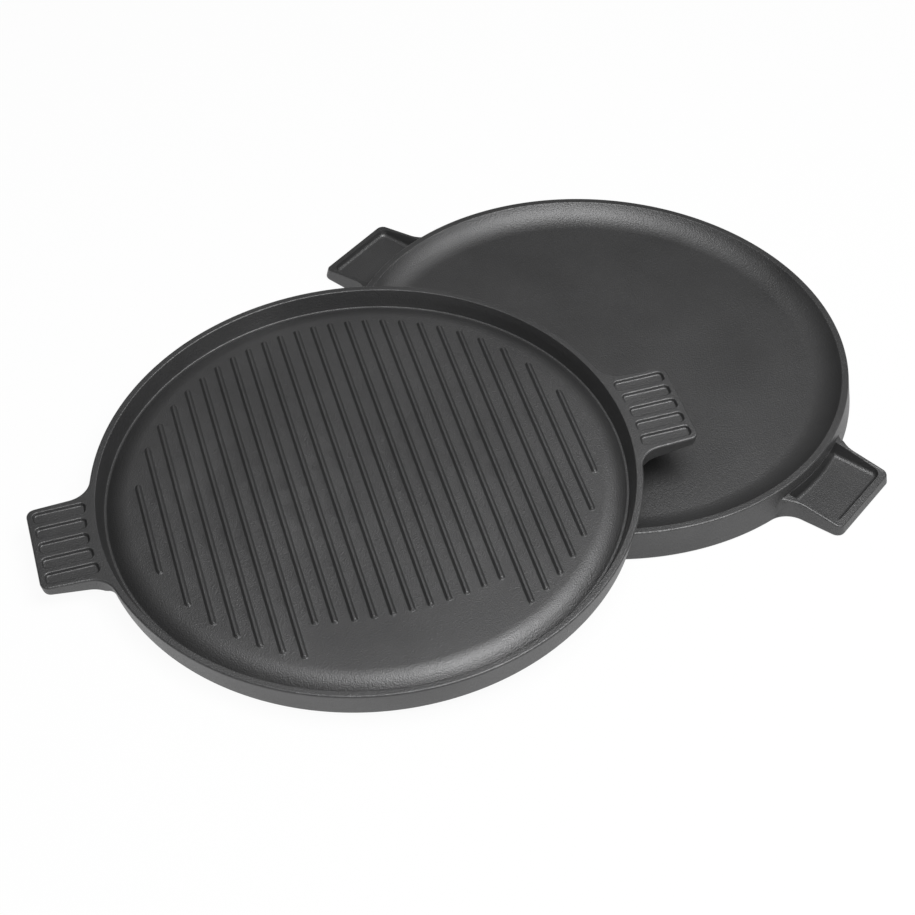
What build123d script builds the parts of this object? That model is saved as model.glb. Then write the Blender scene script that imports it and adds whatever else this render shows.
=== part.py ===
from build123d import *
import math
import os

os.makedirs("parts", exist_ok=True)

# Griddle plate: a reversible round casting, ribbed on one face and smooth on
# the other, shown twice.  One plate lies smooth face up, the other leans on it
# ribbed face up.  Dimensions in mm, angles in degrees.
#
# Casting frame: Z = 0 is the rim plane of the smooth face, Z = DEPTH the rim
# plane of the ribbed face, X runs along the handles.

# Plate
RIM_D = 350.0           # across the rim on the ribbed face
DEPTH = 20.3            # rim plane to rim plane
DRAFT = 10.8            # of the rim and the handles
WALL_DRAFT = 10.3       # of the wall below them, which narrows to the smooth face
EDGE = 1.3              # outer edges broken by this much
LIP = 0.8               # inner lip of both rims broken by this much

# Ribbed face
RIM_BAND = 4.8          # width of the flat top of the rim
GUTTER_DEPTH = 12.0     # rim plane down to the bottom of the gutter
GUTTER_WALL = 4.0       # width of the steep wall from the rim down to it
GUTTER_FLAT = 1.6       # width of its bottom
FIELD_DEPTH = 5.1       # rim plane down to the ribbed field
SHOULDER_W = 14.6       # width of the shoulder from the gutter up to the field
SHOULDER_SAG = 1.35     # how far the shoulder bulges off its chord
SHOULDER_COUNT = 3      # narrow cones that make up its curve

# Ribs
RIB_PITCH = 11.64
RIB_W = 4.3             # at the root
RIB_H = 1.5
RIB_TAPER = 45.0        # slope of flanks and ends, from the vertical
RIB_MARGIN = 3.8        # the ribs end on a circle this far inside the field's edge
RIB_SPARE = 6.0         # the outermost rib is at least this far inside that circle
PLAIN_RIBS = 11         # middle ribs cut short by the plain panel
PLAIN_W = 33.6          # width of the panel at the middle rib
PLAIN_R = 235.0         # the short ribs end on an arc of this radius

# Smooth face
SMOOTH_LAND = 4.6       # width of the rim band on this face
SMOOTH_DEPTH = 9.8      # rim plane to floor
COVE_INSET = 28.0       # the floor turns into the cove this far inside the plate's outer edge
COVE_SAG = 2.3          # how far the cove runs hollow of its chord
COVE_COUNT = 3          # narrow cones that make up its curve

# Handles
HANDLE_OUT = 36.5       # how far they stand out from the rim
HANDLE_W = 67.0
HANDLE_T = 7.6
HANDLE_TIP_R = 6.0      # tip corners
HANDLE_ROOT_R = 15.0    # sweep into the outer wall
GRIP_COUNT = 5          # finger pockets on the ribbed side
GRIP_W = 9.0
GRIP_DEPTH = 2.0
GRIP_TAPER = 27.0
GRIP_CORNER = 2.0
GRIP_SIDE = 3.6         # left beside the outer pockets
GRIP_INNER = 1.2        # left between the pockets and the rim's outer edge
GRIP_OUTER = 3.8        # left at the tip
UNDER_DEPTH = 3.2       # pocket on the smooth side of the handle
UNDER_TAPER = 30.0
UNDER_CORNER = 4.0
UNDER_SIDE = 4.0        # left beside it
UNDER_INNER = 2.5       # left between it and the rim's outer edge
UNDER_OUTER = 5.2       # left at the tip

# How the two plates lie
OVERREACH = 140.2       # how far the leaning plate reaches in over the other
FLAT_TURN = -77.84      # heading of the handles of the flat plate
LEAN_TURN = -25.44      # heading of the handles of the leaning plate
CLEAR = 0.3             # kept between the two plates

# Cutting
OVERCUT = 3.0           # cutters run this far past the rim planes
EDGE_MATCH = 0.01       # tolerance when edges are picked by height or radius

# Worked out from the above
rim_r = RIM_D / 2
under_z = DEPTH - HANDLE_T              # smooth side of the handles
waist_r = rim_r - HANDLE_T * math.tan(math.radians(DRAFT))
wall_r = waist_r - under_z * math.tan(math.radians(WALL_DRAFT))     # outer radius, smooth face
field_z = DEPTH - FIELD_DEPTH
gutter_z = DEPTH - GUTTER_DEPTH
lip_r = rim_r - RIM_BAND
gutter_r = lip_r - GUTTER_WALL
field_r = gutter_r - GUTTER_FLAT - SHOULDER_W
rib_end_r = field_r - RIB_MARGIN
rib_count = 2 * int((rib_end_r - RIB_SPARE) / RIB_PITCH) + 1
plain_y = rib_end_r - PLAIN_W           # reach of the middle rib towards the panel
cove_r = wall_r - SMOOTH_LAND
floor_r = rim_r - COVE_INSET
tip_x = rim_r + HANDLE_OUT
grip_pitch = (HANDLE_W - 2 * GRIP_SIDE - GRIP_W) / (GRIP_COUNT - 1)
grip_in_r = rim_r + GRIP_INNER          # inner ends of the pockets lie on this circle
grip_out_x = tip_x - GRIP_OUTER
under_w = HANDLE_W - 2 * UNDER_SIDE
under_in_r = rim_r + UNDER_INNER
under_out_x = tip_x - UNDER_OUTER


def curve(a, b, sag, flats):
    """Points from a to b along an arc that leaves their chord to its left by sag."""
    dx, dz = b[0] - a[0], b[1] - a[1]
    span = math.hypot(dx, dz)
    crown = ((a[0] + b[0]) / 2 - dz / span * sag, (a[1] + b[1]) / 2 + dx / span * sag)
    arc = ThreePointArc(a, crown, b)
    return [a] + [tuple(arc @ (k / flats))[:2] for k in range(1, flats)] + [b]


def reach(p):
    """Distance of a point from the plate's axis."""
    return math.hypot(p.X, p.Y)


def level(edge, height):
    """True for an edge that lies in the plane at this height."""
    return all(abs((edge @ t).Z - height) < EDGE_MATCH for t in (0, 0.3, 0.7))


field_pt = (field_r, field_z)
gutter_in = (gutter_r - GUTTER_FLAT, gutter_z)
gutter_out = (gutter_r, gutter_z)
floor_pt = (floor_r, SMOOTH_DEPTH)
cove_pt = (cove_r, 0)
shoulder = curve(field_pt, gutter_in, SHOULDER_SAG, SHOULDER_COUNT)
cove = curve(floor_pt, cove_pt, COVE_SAG, COVE_COUNT)
above = DEPTH + OVERCUT
below = -OVERCUT
# the steep wall of the rim, carried on past the rim plane
lip_out = lip_r + GUTTER_WALL * (above - DEPTH) / GUTTER_DEPTH

with BuildPart() as casting:
    # rim and handles in one drafted slab, then the wall below the handles
    with BuildSketch(Plane.XY.offset(DEPTH)):
        Circle(rim_r)
        Rectangle(2 * tip_x, HANDLE_W)
        joins = vertices().filter_by(lambda v: abs(v.X) < rim_r)
        fillet(joins, HANDLE_ROOT_R)
        tips = vertices().filter_by(lambda v: abs(v.X) > tip_x - EDGE_MATCH)
        fillet(tips, HANDLE_TIP_R)
    extrude(amount=-HANDLE_T, taper=DRAFT)
    with BuildSketch():
        Circle(wall_r)
    extrude(amount=under_z, taper=-WALL_DRAFT)

    # outer edges broken all round
    outline = edges().filter_by(lambda e: level(e, DEPTH))
    chamfer(outline, EDGE)
    foot = edges().filter_by(lambda e: level(e, 0))
    chamfer(foot, EDGE)

    # ribbed face: steep wall, gutter, rounded shoulder, flat field
    with BuildSketch(Plane.XZ):
        with BuildLine():
            Polyline((0, field_z), *shoulder, gutter_out, (lip_out, above), (0, above), close=True)
        make_face()
    revolve(axis=Axis.Z, mode=Mode.SUBTRACT, clean=False)

    # smooth face: flat floor, hollow cove up to the rim
    with BuildSketch(Plane.XZ):
        with BuildLine():
            Polyline((0, SMOOTH_DEPTH), *cove, (cove_r, below), (0, below), close=True)
        make_face()
    revolve(axis=Axis.Z, mode=Mode.SUBTRACT, clean=False)

    # ribs: narrow ridges across the field, the middle ones cut short
    with BuildSketch(Plane.XY.offset(field_z)):
        with GridLocations(RIB_PITCH, 0, rib_count, 1):
            Rectangle(RIB_W, RIM_D)
        Circle(rib_end_r, mode=Mode.INTERSECT)
        with Locations((0, -rim_r)):
            Rectangle(PLAIN_RIBS * RIB_PITCH, RIM_D, mode=Mode.SUBTRACT)
    extrude(amount=RIB_H, taper=RIB_TAPER, clean=False)
    with BuildSketch(Plane.XY.offset(field_z)):
        with GridLocations(RIB_PITCH, 0, PLAIN_RIBS, 1):
            Rectangle(RIB_W, RIM_D)
        Circle(rib_end_r, mode=Mode.INTERSECT)
        with Locations((0, PLAIN_R - plain_y)):
            Circle(PLAIN_R, mode=Mode.INTERSECT)
    extrude(amount=RIB_H, taper=RIB_TAPER, clean=False)

    # inner lips of both rims broken
    lips = edges().filter_by(lambda e: level(e, DEPTH) and abs(reach(e @ 0.3) - lip_r) < EDGE_MATCH
                             or level(e, 0) and abs(reach(e @ 0.3) - cove_r) < EDGE_MATCH)
    chamfer(lips, LIP)

    # finger pockets across each handle, on the ribbed side
    for heading in (0, 180):
        grip_face = Plane.XY.offset(DEPTH).rotated((0, 0, heading))
        with BuildSketch(grip_face):
            with Locations((grip_out_x / 2, 0)):
                with GridLocations(0, grip_pitch, 1, GRIP_COUNT):
                    Rectangle(grip_out_x, GRIP_W)
            fillet(vertices().filter_by(lambda v: v.X > grip_in_r), GRIP_CORNER)
            Circle(grip_in_r, mode=Mode.SUBTRACT)
        extrude(amount=-GRIP_DEPTH, taper=GRIP_TAPER, mode=Mode.SUBTRACT, clean=False)

    # shallow pocket on the smooth side of each handle
    for heading in (0, 180):
        under_face = Plane.XY.offset(under_z).rotated((0, 0, heading))
        with BuildSketch(under_face):
            with Locations((under_out_x / 2, 0)):
                Rectangle(under_out_x, under_w)
            fillet(vertices().filter_by(lambda v: v.X > under_in_r), UNDER_CORNER)
            Circle(under_in_r, mode=Mode.SUBTRACT)
        extrude(amount=UNDER_DEPTH, taper=UNDER_TAPER, mode=Mode.SUBTRACT, clean=False)

# The lean is worked out so that the upper plate just clears the lower one
foot_r = wall_r - EDGE                  # the flat of the smooth rim ends here
cross_in = cove_r + LIP
gap = 2 * wall_r - OVERREACH                        # between plate centres
cross_x = (gap ** 2 + foot_r ** 2 - cross_in ** 2) / (2 * gap)
lean = math.degrees(math.asin((DEPTH + CLEAR) / (foot_r + gap - cross_x)))
lean_z = foot_r * math.sin(math.radians(lean))

tilt = math.radians(lean)

flat_seat = Plane(
    origin=(0, 0, DEPTH),
    x_dir=(math.cos(math.radians(FLAT_TURN)), math.sin(math.radians(FLAT_TURN)), 0),
    z_dir=(0, 0, -1),
)
slope = Plane(
    origin=(-gap, 0, lean_z),
    x_dir=(math.cos(tilt), 0, math.sin(tilt)),
    z_dir=(-math.sin(tilt), 0, math.cos(tilt)),
)
lean_seat = Plane(
    origin=slope.origin,
    x_dir=slope.x_dir.rotate(Axis((0, 0, 0), slope.z_dir), LEAN_TURN),
    z_dir=slope.z_dir,
)

# the origin is under the middle of the pair
pair = Compound([casting.part.moved(flat_seat.location), casting.part.moved(lean_seat.location)])
middle = pair.bounding_box().center()
shift = Location((-middle.X, -middle.Y, 0))
flat_seat = Plane(shift * flat_seat.location)
lean_seat = Plane(shift * lean_seat.location)

with BuildPart(flat_seat) as flat_plate:
    add(casting.part)
flat_plate.part.label = "flat_plate"
export_step(flat_plate.part, "parts/flat_plate.step")

with BuildPart(lean_seat) as leaning_plate:
    add(casting.part)
leaning_plate.part.label = "leaning_plate"
export_step(leaning_plate.part, "parts/leaning_plate.step")

print("lean", round(lean, 3), "centre distance", round(gap, 2))
print("flat plate centre", flat_seat.origin, "leaning plate centre", lean_seat.origin)
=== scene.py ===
import math

import bmesh
import bpy
from mathutils import Matrix, Vector

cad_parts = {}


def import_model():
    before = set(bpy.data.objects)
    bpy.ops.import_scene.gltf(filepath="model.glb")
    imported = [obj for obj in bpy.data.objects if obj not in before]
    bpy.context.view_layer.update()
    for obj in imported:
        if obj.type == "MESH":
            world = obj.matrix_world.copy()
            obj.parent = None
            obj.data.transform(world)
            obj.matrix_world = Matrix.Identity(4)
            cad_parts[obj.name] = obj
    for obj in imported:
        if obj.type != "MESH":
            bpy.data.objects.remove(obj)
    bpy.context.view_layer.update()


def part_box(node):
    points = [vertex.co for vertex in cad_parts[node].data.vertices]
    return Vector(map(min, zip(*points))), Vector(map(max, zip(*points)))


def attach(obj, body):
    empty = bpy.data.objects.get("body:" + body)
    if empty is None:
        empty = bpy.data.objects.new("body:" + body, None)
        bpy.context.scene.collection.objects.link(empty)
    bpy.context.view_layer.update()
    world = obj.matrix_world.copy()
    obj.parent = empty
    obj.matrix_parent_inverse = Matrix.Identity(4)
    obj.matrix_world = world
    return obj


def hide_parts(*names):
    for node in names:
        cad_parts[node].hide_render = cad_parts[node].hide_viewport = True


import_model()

# One iron casting, shown twice: a plate lies smooth face up, and another leans
# on it ribbed face up. Metres and radians.
MM = 0.001

# The casting's own frame: Z = 0 is the smooth rim, Z = DEPTH the ribbed rim, X runs along the handles
RIM_R = 175.0 * MM
DEPTH = 20.3 * MM
DRAFT = math.radians(10.8)          # rim and handles
WALL_DRAFT = math.radians(10.3)     # wall below the handles
EDGE_R = 1.2 * MM
LIP_R = 0.8 * MM

# Ribbed face
RIM_BAND = 4.8 * MM
GUTTER_R = 166.2 * MM
GUTTER_DEPTH = 12.0 * MM
GUTTER_FLAT = 1.6 * MM
GUTTER_FOOT_R = 1.2 * MM            # between the gutter's bottom and the shoulder
GUTTER_WALL_R = 0.7 * MM            # between its bottom and the rim
FIELD_DEPTH = 5.1 * MM
SHOULDER_X = 157.3 * MM             # where the field and the slope into the gutter would meet
SHOULDER_R = 18.0 * MM

# Ribs
RIB_COUNT = 25
RIB_PITCH = 11.64 * MM
RIB_W = 4.3 * MM
RIB_H = 1.5 * MM
RIB_R = 0.5 * MM                    # at the foot and at the top
RIB_CORNER = 1.9 * MM               # at the root of the ends
RIB_END_R = 146.2 * MM              # radius on which the ends lie
RIB_SINK = 0.02 * MM                # their flare starts this far under the field
PLAIN_RIBS = 11                     # ribs cut short by the plain panel
PLAIN_Y = 112.6 * MM                # its curved edge crosses X = 0 this far below the middle
PLAIN_R = 235.0 * MM                # radius of that edge

# Smooth face
SMOOTH_LAND = 4.6 * MM
SMOOTH_DEPTH = 9.8 * MM
COVE_X = 158.3 * MM                 # where the floor and the slope up to the rim would meet
COVE_R = 24.0 * MM

# Handles
HANDLE_X = 211.5 * MM
HANDLE_Y = 33.5 * MM                # half the width at the tip
HANDLE_FLARE = 1.5 * MM             # and this much more where it meets the rim
HANDLE_T = 7.6 * MM                 # at the tip
HANDLE_RISE = 5.3 * MM              # thicker by this much at the wall
TIP_R = 6.0 * MM
ROOT_R = 16.0 * MM
UNDER_R = 1.2 * MM
ROOT_BLEND = 4.0 * MM               # the handles fade into the wall over this distance

# Finger pockets on the ribbed side of the handles
GRIP_COUNT = 5
GRIP_W = 9.0 * MM
GRIP_PITCH = 12.7 * MM
GRIP_DEPTH = 2.0 * MM
GRIP_SLOPE = math.radians(27)
GRIP_CORNER = 3.2 * MM
GRIP_LIP_R = 0.9 * MM
GRIP_FOOT_R = 1.0 * MM
GRIP_IN = 176.2 * MM                # radius on which the inner ends lie
GRIP_OUT = 207.7 * MM               # X of the outer ends

# Wide pocket on their smooth side, which runs in to the wall
POCKET_OUT = 204.5 * MM             # X of its outer end, at its floor
POCKET_W = 55.3 * MM                # at its floor
POCKET_CORNER = 4.0 * MM
POCKET_DEPTH = 3.2 * MM             # at the tip
POCKET_SLOPE = math.radians(20)
POCKET_FOOT_R = 2.8 * MM            # round its floor, and where the floor meets the wall
POCKET_REACH = 10.0 * MM            # its cutter starts this far inside the wall
WALL_GAP = 0.02 * MM                # and is cut back to this far off it

# How the two plates lie
OVERREACH = 140.2 * MM              # overlap of the two smooth rims along X
FLAT_TURN = math.radians(-77.84)
LEAN_TURN = math.radians(-25.44)
CLEAR = 0.3 * MM
CAD_EDGE = 1.3 * MM                 # the CAD plates' chamfers, which decide how they lie
CAD_LIP = 0.8 * MM

# How finely the skin is divided
RIBBED_STEP = math.radians(8)       # turn between the facets of a rounded profile
SMOOTH_STEP = math.radians(5)
FINE_STEP = math.radians(12)
FEWEST = 3                          # facets of the shortest arc
FIELD_RINGS = 8                     # rings of faces across the ribbed field
UNDER_RINGS = 4                     # and across the underside of the handles
TIP_MARKS = 6                       # outline marks along half the tip of a handle
TIP_CORNER_MARKS = 8
SIDE_MARKS = 6
ROOT_MARKS = 16
RIM_MARKS = 74                      # along a quarter of the rim, less the handle
CORE_MARKS = 360
RUN = 4.0 * MM                      # straight lead into or out of a cutter's fillet
PAST = 1.0 * MM                     # cutters stand this far past the skin

# Finish
METALLIC = 0.85
IRON_DARK = (0.106, 0.106, 0.107, 1)
IRON_PALE = (0.130, 0.130, 0.131, 1)
ROUGHNESS = (0.38, 0.54)
CLOUD = {"Scale": 18, "Detail": 4}  # drift of the tone over the casting
CLOUD_BAND = (0.3, 0.7)
GRAIN = {"Scale": 1100, "Detail": 3}    # cast pits
GRAIN_BUMP = 0.65
GRAIN_DEPTH = 0.5 * MM
SHARP = math.radians(35)            # edges that turn more than this stay sharp
FACE_WEIGHT = 100                   # how far the large faces lead the shading elsewhere

# Camera, fitted to the photograph
PHOTO_PX = 915
FOCAL_PX = 2168
AZ, EL, ROLL = (math.radians(a) for a in (-133.13, 44.13, 2.31))
DISTANCE = 1.427
AIM = (-0.1264, -0.0013)            # from the middle of the flat plate
SENSOR = 36

# Studio
FLOOR_SIZE = 6
FLOOR_DROP = 0.0002                 # the floor lies this far under the plates
FLOOR_WHITE = 0.85
FLOOR_GLOW = 0.95                   # how much of the floor the camera sees as plain white
WALLS, CEILING = 0.12, 0.32         # brightness of the surroundings
WALL_TOP, CEILING_EDGE = 0.6, 0.98  # sines of the elevations between which one fades into the other
SOFTBOX = (0.32, 0.42, 1.4)         # towards the camera, to its right, and up
SOFTBOX_SIZE = 1.1
SOFTBOX_W = 26

under_z = DEPTH - HANDLE_T          # smooth side of the handles at the tip
waist_r = RIM_R - HANDLE_T * math.tan(DRAFT)


def wall_at(z):
    """Radius of the outer wall at a height."""
    if z > under_z:
        return RIM_R - (DEPTH - z) * math.tan(DRAFT)
    return waist_r - (under_z - z) * math.tan(WALL_DRAFT)


wall_r = wall_at(0)
root_z = under_z - HANDLE_RISE      # smooth side of the handles at the wall
root_r = wall_at(root_z)
field_z = DEPTH - FIELD_DEPTH
gutter_z = DEPTH - GUTTER_DEPTH
lip_r = RIM_R - RIM_BAND
cove_lip_r = wall_r - SMOOTH_LAND


def rounded(corners, step=FINE_STEP):
    """A profile through corners (x, z, radius), each rounded by an arc. The two ends stay sharp."""
    path = [Vector(corners[0][:2])]
    for before, here, after in zip(corners, corners[1:], corners[2:]):
        corner = Vector(here[:2])
        back = (Vector(before[:2]) - corner).normalized()
        on = (Vector(after[:2]) - corner).normalized()
        turn = math.pi - back.angle(on)
        reach = here[2] * math.tan(turn / 2)
        centre = corner + (back + on).normalized() * (here[2] / math.cos(turn / 2))
        count = max(FEWEST, round(turn / step))
        start = corner + back * reach - centre
        side = 1 if back.y * on.x > back.x * on.y else -1
        for i in range(count + 1):
            a = side * turn * i / count
            path.append(centre + Vector((
                start.x * math.cos(a) - start.y * math.sin(a),
                start.x * math.sin(a) + start.y * math.cos(a),
            )))
    path.append(Vector(corners[-1][:2]))
    return path


def arc(centre, radius, start, end, count):
    """Points on an arc, each with its direction from the centre."""
    for i in range(count + 1):
        a = start + (end - start) * i / count
        way = Vector((math.cos(a), math.sin(a)))
        yield Vector(centre) + way * radius, way


def polygon(corners, count=5):
    """Outline marks of a polygon with rounded corners (x, y, radius), anticlockwise."""
    marks = []
    for k, (x, y, radius) in enumerate(corners):
        here = Vector((x, y))
        back = (Vector(corners[k - 1][:2]) - here).normalized()
        on = (Vector(corners[(k + 1) % len(corners)][:2]) - here).normalized()
        turn = math.pi - back.angle(on)
        side = 1 if back.x * on.y < back.y * on.x else -1       # -1 where the corner is hollow
        centre = here + (back + on).normalized() * (radius / math.cos(turn / 2))
        start = math.atan2(back.x, -back.y)
        for i in range(count + 1):
            a = start + side * turn * i / count
            way = Vector((math.cos(a), math.sin(a)))
            marks.append((centre + way * radius * side, way))
    return marks


def quarter_outline():
    """The rim and half a handle from the tip round to the Y axis: (point, outward normal)."""
    side_way = math.pi / 2 - math.atan2(HANDLE_FLARE, HANDLE_X - RIM_R)
    out = Vector((math.cos(side_way), math.sin(side_way)))      # square to the side of the handle
    side = out.dot(Vector((HANDLE_X, HANDLE_Y)))
    tip = Vector((HANDLE_X - TIP_R, 0))
    tip.y = (side - TIP_R - out.x * tip.x) / out.y
    root = out * (side + ROOT_R)
    root += Vector((out.y, -out.x)) * math.sqrt((RIM_R + ROOT_R) ** 2 - root.length_squared)
    heading = math.atan2(root.y, root.x)
    first, last = tip + out * TIP_R, root - out * ROOT_R

    marks = [(Vector((HANDLE_X, tip.y * i / TIP_MARKS)), Vector((1, 0))) for i in range(TIP_MARKS)]
    marks += arc(tip, TIP_R, 0, side_way, TIP_CORNER_MARKS)
    marks += [(first.lerp(last, i / SIDE_MARKS), out) for i in range(1, SIDE_MARKS)]
    bend = arc(root, ROOT_R, side_way - math.pi, heading - math.pi, ROOT_MARKS)
    marks += [(p, -way) for p, way in bend]
    marks += list(arc((0, 0), RIM_R, heading, math.pi / 2, RIM_MARKS))[1:]
    return marks


def full_outline():
    """The whole outline, anticlockwise from the tip of the +X handle."""
    quarter = quarter_outline()
    half = quarter + [(Vector((-p.x, p.y)), Vector((-n.x, n.y))) for p, n in reversed(quarter[:-1])]
    return half + [(Vector((p.x, -p.y)), Vector((n.x, -n.y))) for p, n in reversed(half[1:-1])]


def first_ring(bm, count, place):
    """A face with vertex i at place(i): its edges, and the layer with the vertices' numbers."""
    order = bm.verts.layers.int.new("order")
    verts = [bm.verts.new(place(i)) for i in range(count)]
    for i, v in enumerate(verts):
        v[order] = i
    bmesh.ops.contextual_create(bm, geom=verts)
    return list(bm.edges), order


def next_ring(bm, ring, order, place):
    """Extrudes a ring of edges and moves each new vertex to where place(its number) says."""
    made = bmesh.ops.extrude_edge_only(bm, edges=ring)["geom"]
    fresh = {v for v in made if isinstance(v, bmesh.types.BMVert)}
    for v in fresh:
        v.co = place(v[order])
    return [e for e in made if isinstance(e, bmesh.types.BMEdge) and set(e.verts) <= fresh]


def stacked(marks, path, name):
    """A closed solid: marks swept along path, whose points are (offset outwards, height)."""
    def place(i, step):
        return Vector((*(marks[i][0] + marks[i][1] * step[0]), step[1]))

    bm = bmesh.new()
    ring, order = first_ring(bm, len(marks), lambda i: place(i, path[0]))
    for step in path[1:]:
        ring = next_ring(bm, ring, order, lambda i: place(i, step))
    bmesh.ops.contextual_create(bm, geom=ring)
    return finished(bm, name)


def finished(bm, name):
    """Turns a closed bmesh into a mesh object with its faces outwards."""
    bmesh.ops.recalc_face_normals(bm, faces=bm.faces)
    mesh = bpy.data.meshes.new(name)
    bm.to_mesh(mesh)
    bm.free()
    obj = bpy.data.objects.new(name, mesh)
    bpy.context.scene.collection.objects.link(obj)
    return obj


def joined(objects, name):
    """One mesh of several loose solids."""
    bm = bmesh.new()
    for o in objects:
        bm.from_mesh(o.data)
        bpy.data.objects.remove(o)
    return finished(bm, name)


def on_both_handles(cutters):
    """One mesh of the +X handle's cutters and of their copies, turned round to the -X handle."""
    bm = bmesh.new()
    for cutter in cutters:
        bm.from_mesh(cutter.data)
        cutter.data.transform(Matrix.Rotation(math.pi, 4, "Z"))
        bm.from_mesh(cutter.data)
        bpy.data.objects.remove(cutter)
    return finished(bm, "cutters")


def combine(target, tool, operation):
    """Applies a boolean of tool to target and removes tool."""
    cut = target.modifiers.new("cut", "BOOLEAN")
    cut.operation = operation
    cut.solver = "EXACT"
    cut.object = tool
    bpy.context.view_layer.update()
    shape = target.evaluated_get(bpy.context.evaluated_depsgraph_get())
    mesh = bpy.data.meshes.new_from_object(shape)
    target.modifiers.clear()
    target.data = mesh
    bpy.data.objects.remove(tool)


def smoothstep(x):
    """Eases from 0 to 1."""
    x = min(1, max(0, x))
    return x * x * (3 - 2 * x)


def ribbed_profile():
    """The ribbed face from near its middle out to the rim: (radius, height)."""
    path = rounded([
        (0, field_z, 0),
        (SHOULDER_X, field_z, SHOULDER_R),
        (GUTTER_R - GUTTER_FLAT, gutter_z, GUTTER_FOOT_R),
        (GUTTER_R, gutter_z, GUTTER_WALL_R),
        (lip_r, DEPTH, LIP_R),
        (RIM_R, DEPTH, 0),
    ], RIBBED_STEP)[1:-1]
    return [(path[0].x * k / FIELD_RINGS, field_z) for k in range(1, FIELD_RINGS)] + path


def smooth_profile():
    """From the root of the handles down the wall and over the smooth face: (radius, height)."""
    return rounded([
        (root_r, root_z, 0),
        (wall_r, 0, EDGE_R),
        (cove_lip_r, 0, LIP_R),
        (COVE_X, SMOOTH_DEPTH, COVE_R),
        (0, SMOOTH_DEPTH, 0),
    ], SMOOTH_STEP)[1:-1]


def casting_body():
    """The plate with its handles as one skin, ring by ring from the ribbed face to the smooth one."""
    marks = full_outline()
    ways = [p.normalized() for p, n in marks]

    def round_at(r, z):
        return lambda i: Vector((*(ways[i] * r), z))

    def along(offset, z):
        return lambda i: Vector((*(marks[i][0] + marks[i][1] * offset), z))

    bm = bmesh.new()
    ribbed = ribbed_profile()
    ring, order = first_ring(bm, len(marks), round_at(*ribbed[0]))
    for r, z in ribbed[1:]:
        ring = next_ring(bm, ring, order, round_at(r, z))

    # outer edge of the rim and handles
    shrink = HANDLE_T * math.tan(DRAFT)
    edge = rounded([(-RIM_BAND, DEPTH, 0), (0, DEPTH, EDGE_R), (-shrink, under_z, 0)])[1:-1]
    for offset, z in edge:
        ring = next_ring(bm, ring, order, along(offset, z))
    edge_in, edge_z = -edge[-1].x, edge[-1].y

    # under the handles the skin turns in to the wall, elsewhere it runs straight down it
    def turn_in(i):
        """How the skin turns under the handle at mark i. The handle thickens towards the wall."""
        share = min(1, (HANDLE_X - abs(marks[i][0].x)) / (HANDLE_X - root_r))
        low = under_z - HANDLE_RISE * share
        drawn = (DEPTH - low) * math.tan(DRAFT)
        bend = rounded([(edge_in, edge_z, 0), (drawn, low, UNDER_R), (drawn + RUN, low, 0)])
        return [along(-inward, z)(i) for inward, z in bend[1:-1]]

    turns = [turn_in(i) for i in range(len(marks))]
    bends = min(len(t) for t in turns)
    steps = bends + UNDER_RINGS
    foot = round_at(root_r, root_z)
    for k in range(1, steps + 1):
        down = edge_z + (root_z - edge_z) * k / steps
        wall = round_at(wall_at(down), down)

        def place(i):
            under = turns[i][min(k, bends) - 1].lerp(foot(i), max(0, k - bends) / UNDER_RINGS)
            stands_out = marks[i][0].length - RIM_R
            return wall(i).lerp(under, smoothstep(stands_out / ROOT_BLEND))

        ring = next_ring(bm, ring, order, place)

    for r, z in smooth_profile():
        ring = next_ring(bm, ring, order, round_at(r, z))
    bmesh.ops.contextual_create(bm, geom=ring)
    return finished(bm, "casting")


def rib_ends(x):
    """Lowest and highest Y of the rib field at this X."""
    high = math.sqrt(RIB_END_R ** 2 - x ** 2)
    low = -high
    if abs(x) < PLAIN_RIBS / 2 * RIB_PITCH:
        low = PLAIN_R - PLAIN_Y - math.sqrt(PLAIN_R ** 2 - x ** 2)
    return low, high


def ribs():
    """The ridges of the ribbed face, each rising from a small fillet to a narrow rounded top."""
    slope = rounded([
        (RUN, field_z - RIB_SINK, 0),
        (0, field_z - RIB_SINK, RIB_R),
        (-RIB_H, field_z + RIB_H, RIB_R),
        (-RIB_H - RUN, field_z + RIB_H, 0),
    ])[1:-1]
    path = [Vector((slope[0].x, field_z - PAST))] + slope
    made = []
    for k in range(RIB_COUNT):
        x = (k - (RIB_COUNT - 1) / 2) * RIB_PITCH
        left, right = x - RIB_W / 2, x + RIB_W / 2
        (low_l, high_l), (low_r, high_r) = rib_ends(left), rib_ends(right)
        corners = [
            (left, low_l, RIB_CORNER),
            (right, low_r, RIB_CORNER),
            (right, high_r, RIB_CORNER),
            (left, high_l, RIB_CORNER),
        ]
        made.append(stacked(polygon(corners), path, "rib"))
    return joined(made, "ribs")


def grips():
    """Cutters for the finger pockets."""
    sink = GRIP_DEPTH * math.tan(GRIP_SLOPE)
    slope = rounded([
        (RUN, DEPTH, 0),
        (0, DEPTH, GRIP_LIP_R),
        (-sink, DEPTH - GRIP_DEPTH, GRIP_FOOT_R),
        (-sink - RUN, DEPTH - GRIP_DEPTH, 0),
    ])[1:-1]
    path = [Vector((slope[0].x, DEPTH + PAST))] + slope
    made = []
    for k in range(GRIP_COUNT):
        y = (k - (GRIP_COUNT - 1) / 2) * GRIP_PITCH
        low, high = y - GRIP_W / 2, y + GRIP_W / 2
        corners = [
            (math.sqrt(GRIP_IN ** 2 - low ** 2), low, GRIP_CORNER),
            (GRIP_OUT, low, GRIP_CORNER),
            (GRIP_OUT, high, GRIP_CORNER),
            (math.sqrt(GRIP_IN ** 2 - high ** 2), high, GRIP_CORNER),
        ]
        made.append(stacked(polygon(corners), path, "grip"))
    return on_both_handles(made)


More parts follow.
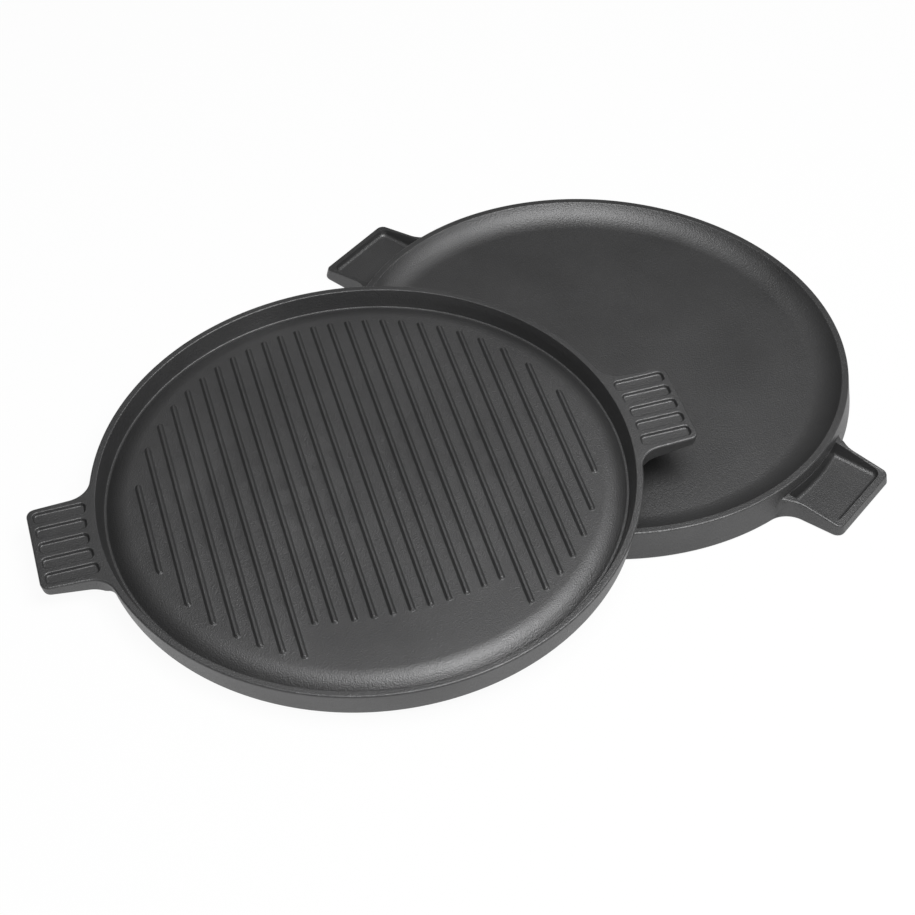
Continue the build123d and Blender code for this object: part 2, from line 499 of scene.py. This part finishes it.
def pockets():
    """Cutters for the wide pockets, kept clear of the wall, with a fillet at its foot."""
    floor_z = under_z + POCKET_DEPTH
    mouth_z = root_z - PAST
    path = rounded([
        ((floor_z - mouth_z) * math.tan(POCKET_SLOPE), mouth_z, 0),
        (0, floor_z, POCKET_FOOT_R),
        (-RUN, floor_z, 0),
    ])[:-1]
    inner = root_r - POCKET_REACH
    corners = [
        (inner, -POCKET_W / 2, POCKET_CORNER),
        (POCKET_OUT, -POCKET_W / 2, POCKET_CORNER),
        (POCKET_OUT, POCKET_W / 2, POCKET_CORNER),
        (inner, POCKET_W / 2, POCKET_CORNER),
    ]
    cutter = on_both_handles([stacked(polygon(corners), path, "pocket")])

    circle = [(Vector((0, 0)), way) for p, way in arc((0, 0), 1, 0, 2 * math.pi, CORE_MARKS)][:-1]
    foot_r = wall_at(floor_z) + WALL_GAP
    core = rounded([
        (wall_at(mouth_z) + WALL_GAP, mouth_z - PAST, 0),
        (foot_r, floor_z + WALL_GAP, POCKET_FOOT_R),
        (foot_r + RUN, floor_z + WALL_GAP, 0),
    ])[:-1]
    core.append(Vector((core[-1].x, floor_z + PAST)))
    combine(cutter, stacked(circle, core, "core"), "DIFFERENCE")
    return cutter


def plate(shape, name, place, node, material):
    """A copy of the casting, put in its place, standing for its CAD node."""
    mesh = shape.data.copy()
    mesh.transform(place)
    mesh.shade_smooth()
    mesh.set_sharp_from_angle(angle=SHARP)
    mesh.materials.append(material)
    obj = bpy.data.objects.new(name, mesh)
    bpy.context.scene.collection.objects.link(obj)
    even = obj.modifiers.new("even", "WEIGHTED_NORMAL")
    even.keep_sharp = True
    even.weight = FACE_WEIGHT
    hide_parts(node)
    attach(obj, node)


def add(nodes, kind, **values):
    """A new node with its inputs set. An underscore stands for the space in an input's name."""
    node = nodes.new("ShaderNode" + kind)
    for name, value in values.items():
        node.inputs[name.replace("_", " ")].default_value = value
    return node


def cast_iron():
    """Matt black finish over a finely pitted casting."""
    m = bpy.data.materials.new("cast_iron_matt_black")
    m.use_nodes = True
    nodes, links = m.node_tree.nodes, m.node_tree.links
    shader = nodes["Principled BSDF"]
    shader.inputs["Metallic"].default_value = METALLIC
    where = add(nodes, "TexCoord")

    # tone
    cloud = add(nodes, "TexNoise", **CLOUD)
    links.new(where.outputs["Object"], cloud.inputs["Vector"])
    tone = add(nodes, "ValToRGB")
    for stop, position, colour in zip(tone.color_ramp.elements, CLOUD_BAND, (IRON_DARK, IRON_PALE)):
        stop.position = position
        stop.color = colour
    links.new(cloud.outputs["Fac"], tone.inputs["Fac"])
    links.new(tone.outputs["Color"], shader.inputs["Base Color"])

    # pits
    grain = add(nodes, "TexNoise", **GRAIN)
    links.new(where.outputs["Object"], grain.inputs["Vector"])
    rough = add(nodes, "MapRange", To_Min=ROUGHNESS[0], To_Max=ROUGHNESS[1])
    links.new(grain.outputs["Fac"], rough.inputs["Value"])
    links.new(rough.outputs["Result"], shader.inputs["Roughness"])
    bump = add(nodes, "Bump", Strength=GRAIN_BUMP, Distance=GRAIN_DEPTH)
    links.new(grain.outputs["Fac"], bump.inputs["Height"])
    links.new(bump.outputs["Normal"], shader.inputs["Normal"])
    return m


def floor():
    """White floor: plain white to reflections, and to the camera but for a faint shadow."""
    bm = bmesh.new()
    bmesh.ops.create_grid(bm, x_segments=1, y_segments=1, size=FLOOR_SIZE)
    obj = finished(bm, "floor")
    obj.location.z = -FLOOR_DROP
    m = bpy.data.materials.new("white_floor")
    m.use_nodes = True
    nodes, links = m.node_tree.nodes, m.node_tree.links
    nodes.clear()
    paper = add(nodes, "BsdfDiffuse", Color=(FLOOR_WHITE, FLOOR_WHITE, FLOOR_WHITE, 1))
    glow = add(nodes, "Emission", Color=(1, 1, 1, 1), Strength=1.0)
    rays = add(nodes, "LightPath")
    seen = add(nodes, "Math")
    seen.operation = "MULTIPLY"
    seen.inputs[1].default_value = FLOOR_GLOW
    links.new(rays.outputs["Is Camera Ray"], seen.inputs[0])
    share = add(nodes, "Math")
    share.operation = "MAXIMUM"
    links.new(seen.outputs[0], share.inputs[0])
    links.new(rays.outputs["Is Glossy Ray"], share.inputs[1])
    mix = add(nodes, "MixShader")
    links.new(share.outputs[0], mix.inputs[0])
    links.new(paper.outputs[0], mix.inputs[1])
    links.new(glow.outputs[0], mix.inputs[2])
    out = add(nodes, "OutputMaterial")
    links.new(mix.outputs[0], out.inputs["Surface"])
    obj.data.materials.append(m)


def world():
    """A studio with a pale ceiling and dim walls, white to the camera."""
    w = bpy.data.worlds.new("studio")
    bpy.context.scene.world = w
    w.use_nodes = True
    nodes, links = w.node_tree.nodes, w.node_tree.links
    nodes.clear()
    where = add(nodes, "TexCoord")
    height = add(nodes, "SeparateXYZ")
    links.new(where.outputs["Generated"], height.inputs["Vector"])
    fade = add(nodes, "MapRange", From_Min=WALL_TOP, From_Max=CEILING_EDGE,
               To_Min=WALLS, To_Max=CEILING)
    fade.interpolation_type = "SMOOTHSTEP"
    links.new(height.outputs["Z"], fade.inputs["Value"])
    grey = add(nodes, "Background", Color=(1, 1, 1, 1))
    links.new(fade.outputs["Result"], grey.inputs["Strength"])
    white = add(nodes, "Background", Color=(1, 1, 1, 1), Strength=1.0)
    rays = add(nodes, "LightPath")
    mix = add(nodes, "MixShader")
    links.new(rays.outputs["Is Camera Ray"], mix.inputs[0])
    links.new(grey.outputs[0], mix.inputs[1])
    links.new(white.outputs[0], mix.inputs[2])
    out = add(nodes, "OutputWorld")
    links.new(mix.outputs[0], out.inputs["Surface"])


def softbox():
    """The one lamp, over the plates and a little to the right of the camera, aimed at their middle."""
    toward, beside, up = SOFTBOX
    camera_way = Vector((math.cos(AZ), math.sin(AZ), 0))
    right_way = Vector((-math.sin(AZ), math.cos(AZ), 0))
    lamp = bpy.data.lights.new("softbox", "AREA")
    lamp.shape = "SQUARE"
    lamp.size = SOFTBOX_SIZE
    lamp.energy = SOFTBOX_W
    obj = bpy.data.objects.new("softbox", lamp)
    obj.location = camera_way * toward + right_way * beside + Vector((0, 0, up))
    obj.rotation_euler = (-obj.location).to_track_quat("-Z", "Y").to_euler()
    bpy.context.scene.collection.objects.link(obj)


def camera(middle_x):
    """The photograph's view. middle_x is the middle of the flat plate."""
    away = Vector((math.cos(EL) * math.cos(AZ), math.cos(EL) * math.sin(AZ), math.sin(EL)))
    level = Vector((-math.sin(AZ), math.cos(AZ), 0))
    upright = away.cross(level)
    right = level * math.cos(ROLL) + upright * math.sin(ROLL)
    up = upright * math.cos(ROLL) - level * math.sin(ROLL)
    turn = Matrix((right, up, away)).transposed().to_4x4()
    lens = bpy.data.cameras.new("camera")
    lens.sensor_width = SENSOR
    lens.lens = FOCAL_PX * SENSOR / PHOTO_PX
    obj = bpy.data.objects.new("camera", lens)
    target = Vector((middle_x + AIM[0], AIM[1], 0))
    obj.matrix_world = Matrix.Translation(target + away * DISTANCE) @ turn
    bpy.context.scene.collection.objects.link(obj)
    bpy.context.scene.camera = obj


# The casting, once
shape = casting_body()
combine(shape, ribs(), "UNION")
combine(shape, grips(), "DIFFERENCE")
combine(shape, pockets(), "DIFFERENCE")

# The two plates, where the CAD has them. The leaning one stands on its low edge. It would rest
# on the flat one where the inner lip of its underside crosses the flat one's outer edge, and
# clears it there by CLEAR.
low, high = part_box("flat_plate")
flat_x = (low[0] + high[0]) / 2
foot_r = wall_r - CAD_EDGE
cross_in = cove_lip_r + CAD_LIP
gap = 2 * wall_r - OVERREACH
cross_x = (gap ** 2 + foot_r ** 2 - cross_in ** 2) / (2 * gap)
lean = math.asin((DEPTH + CLEAR) / (foot_r + gap - cross_x))

flat_place = (Matrix.Translation((flat_x, 0, DEPTH))
              @ Matrix.Rotation(FLAT_TURN, 4, "Z")
              @ Matrix.Rotation(math.pi, 4, "X"))
lean_place = (Matrix.Translation((flat_x - gap, 0, foot_r * math.sin(lean)))
              @ Matrix.Rotation(-lean, 4, "Y")
              @ Matrix.Rotation(LEAN_TURN, 4, "Z"))

iron = cast_iron()
plate(shape, "flat_casting", flat_place, "flat_plate", iron)
plate(shape, "leaning_casting", lean_place, "leaning_plate", iron)
bpy.data.objects.remove(shape)

floor()
world()
softbox()
camera(flat_x)
bpy.context.scene.view_settings.view_transform = "Standard"
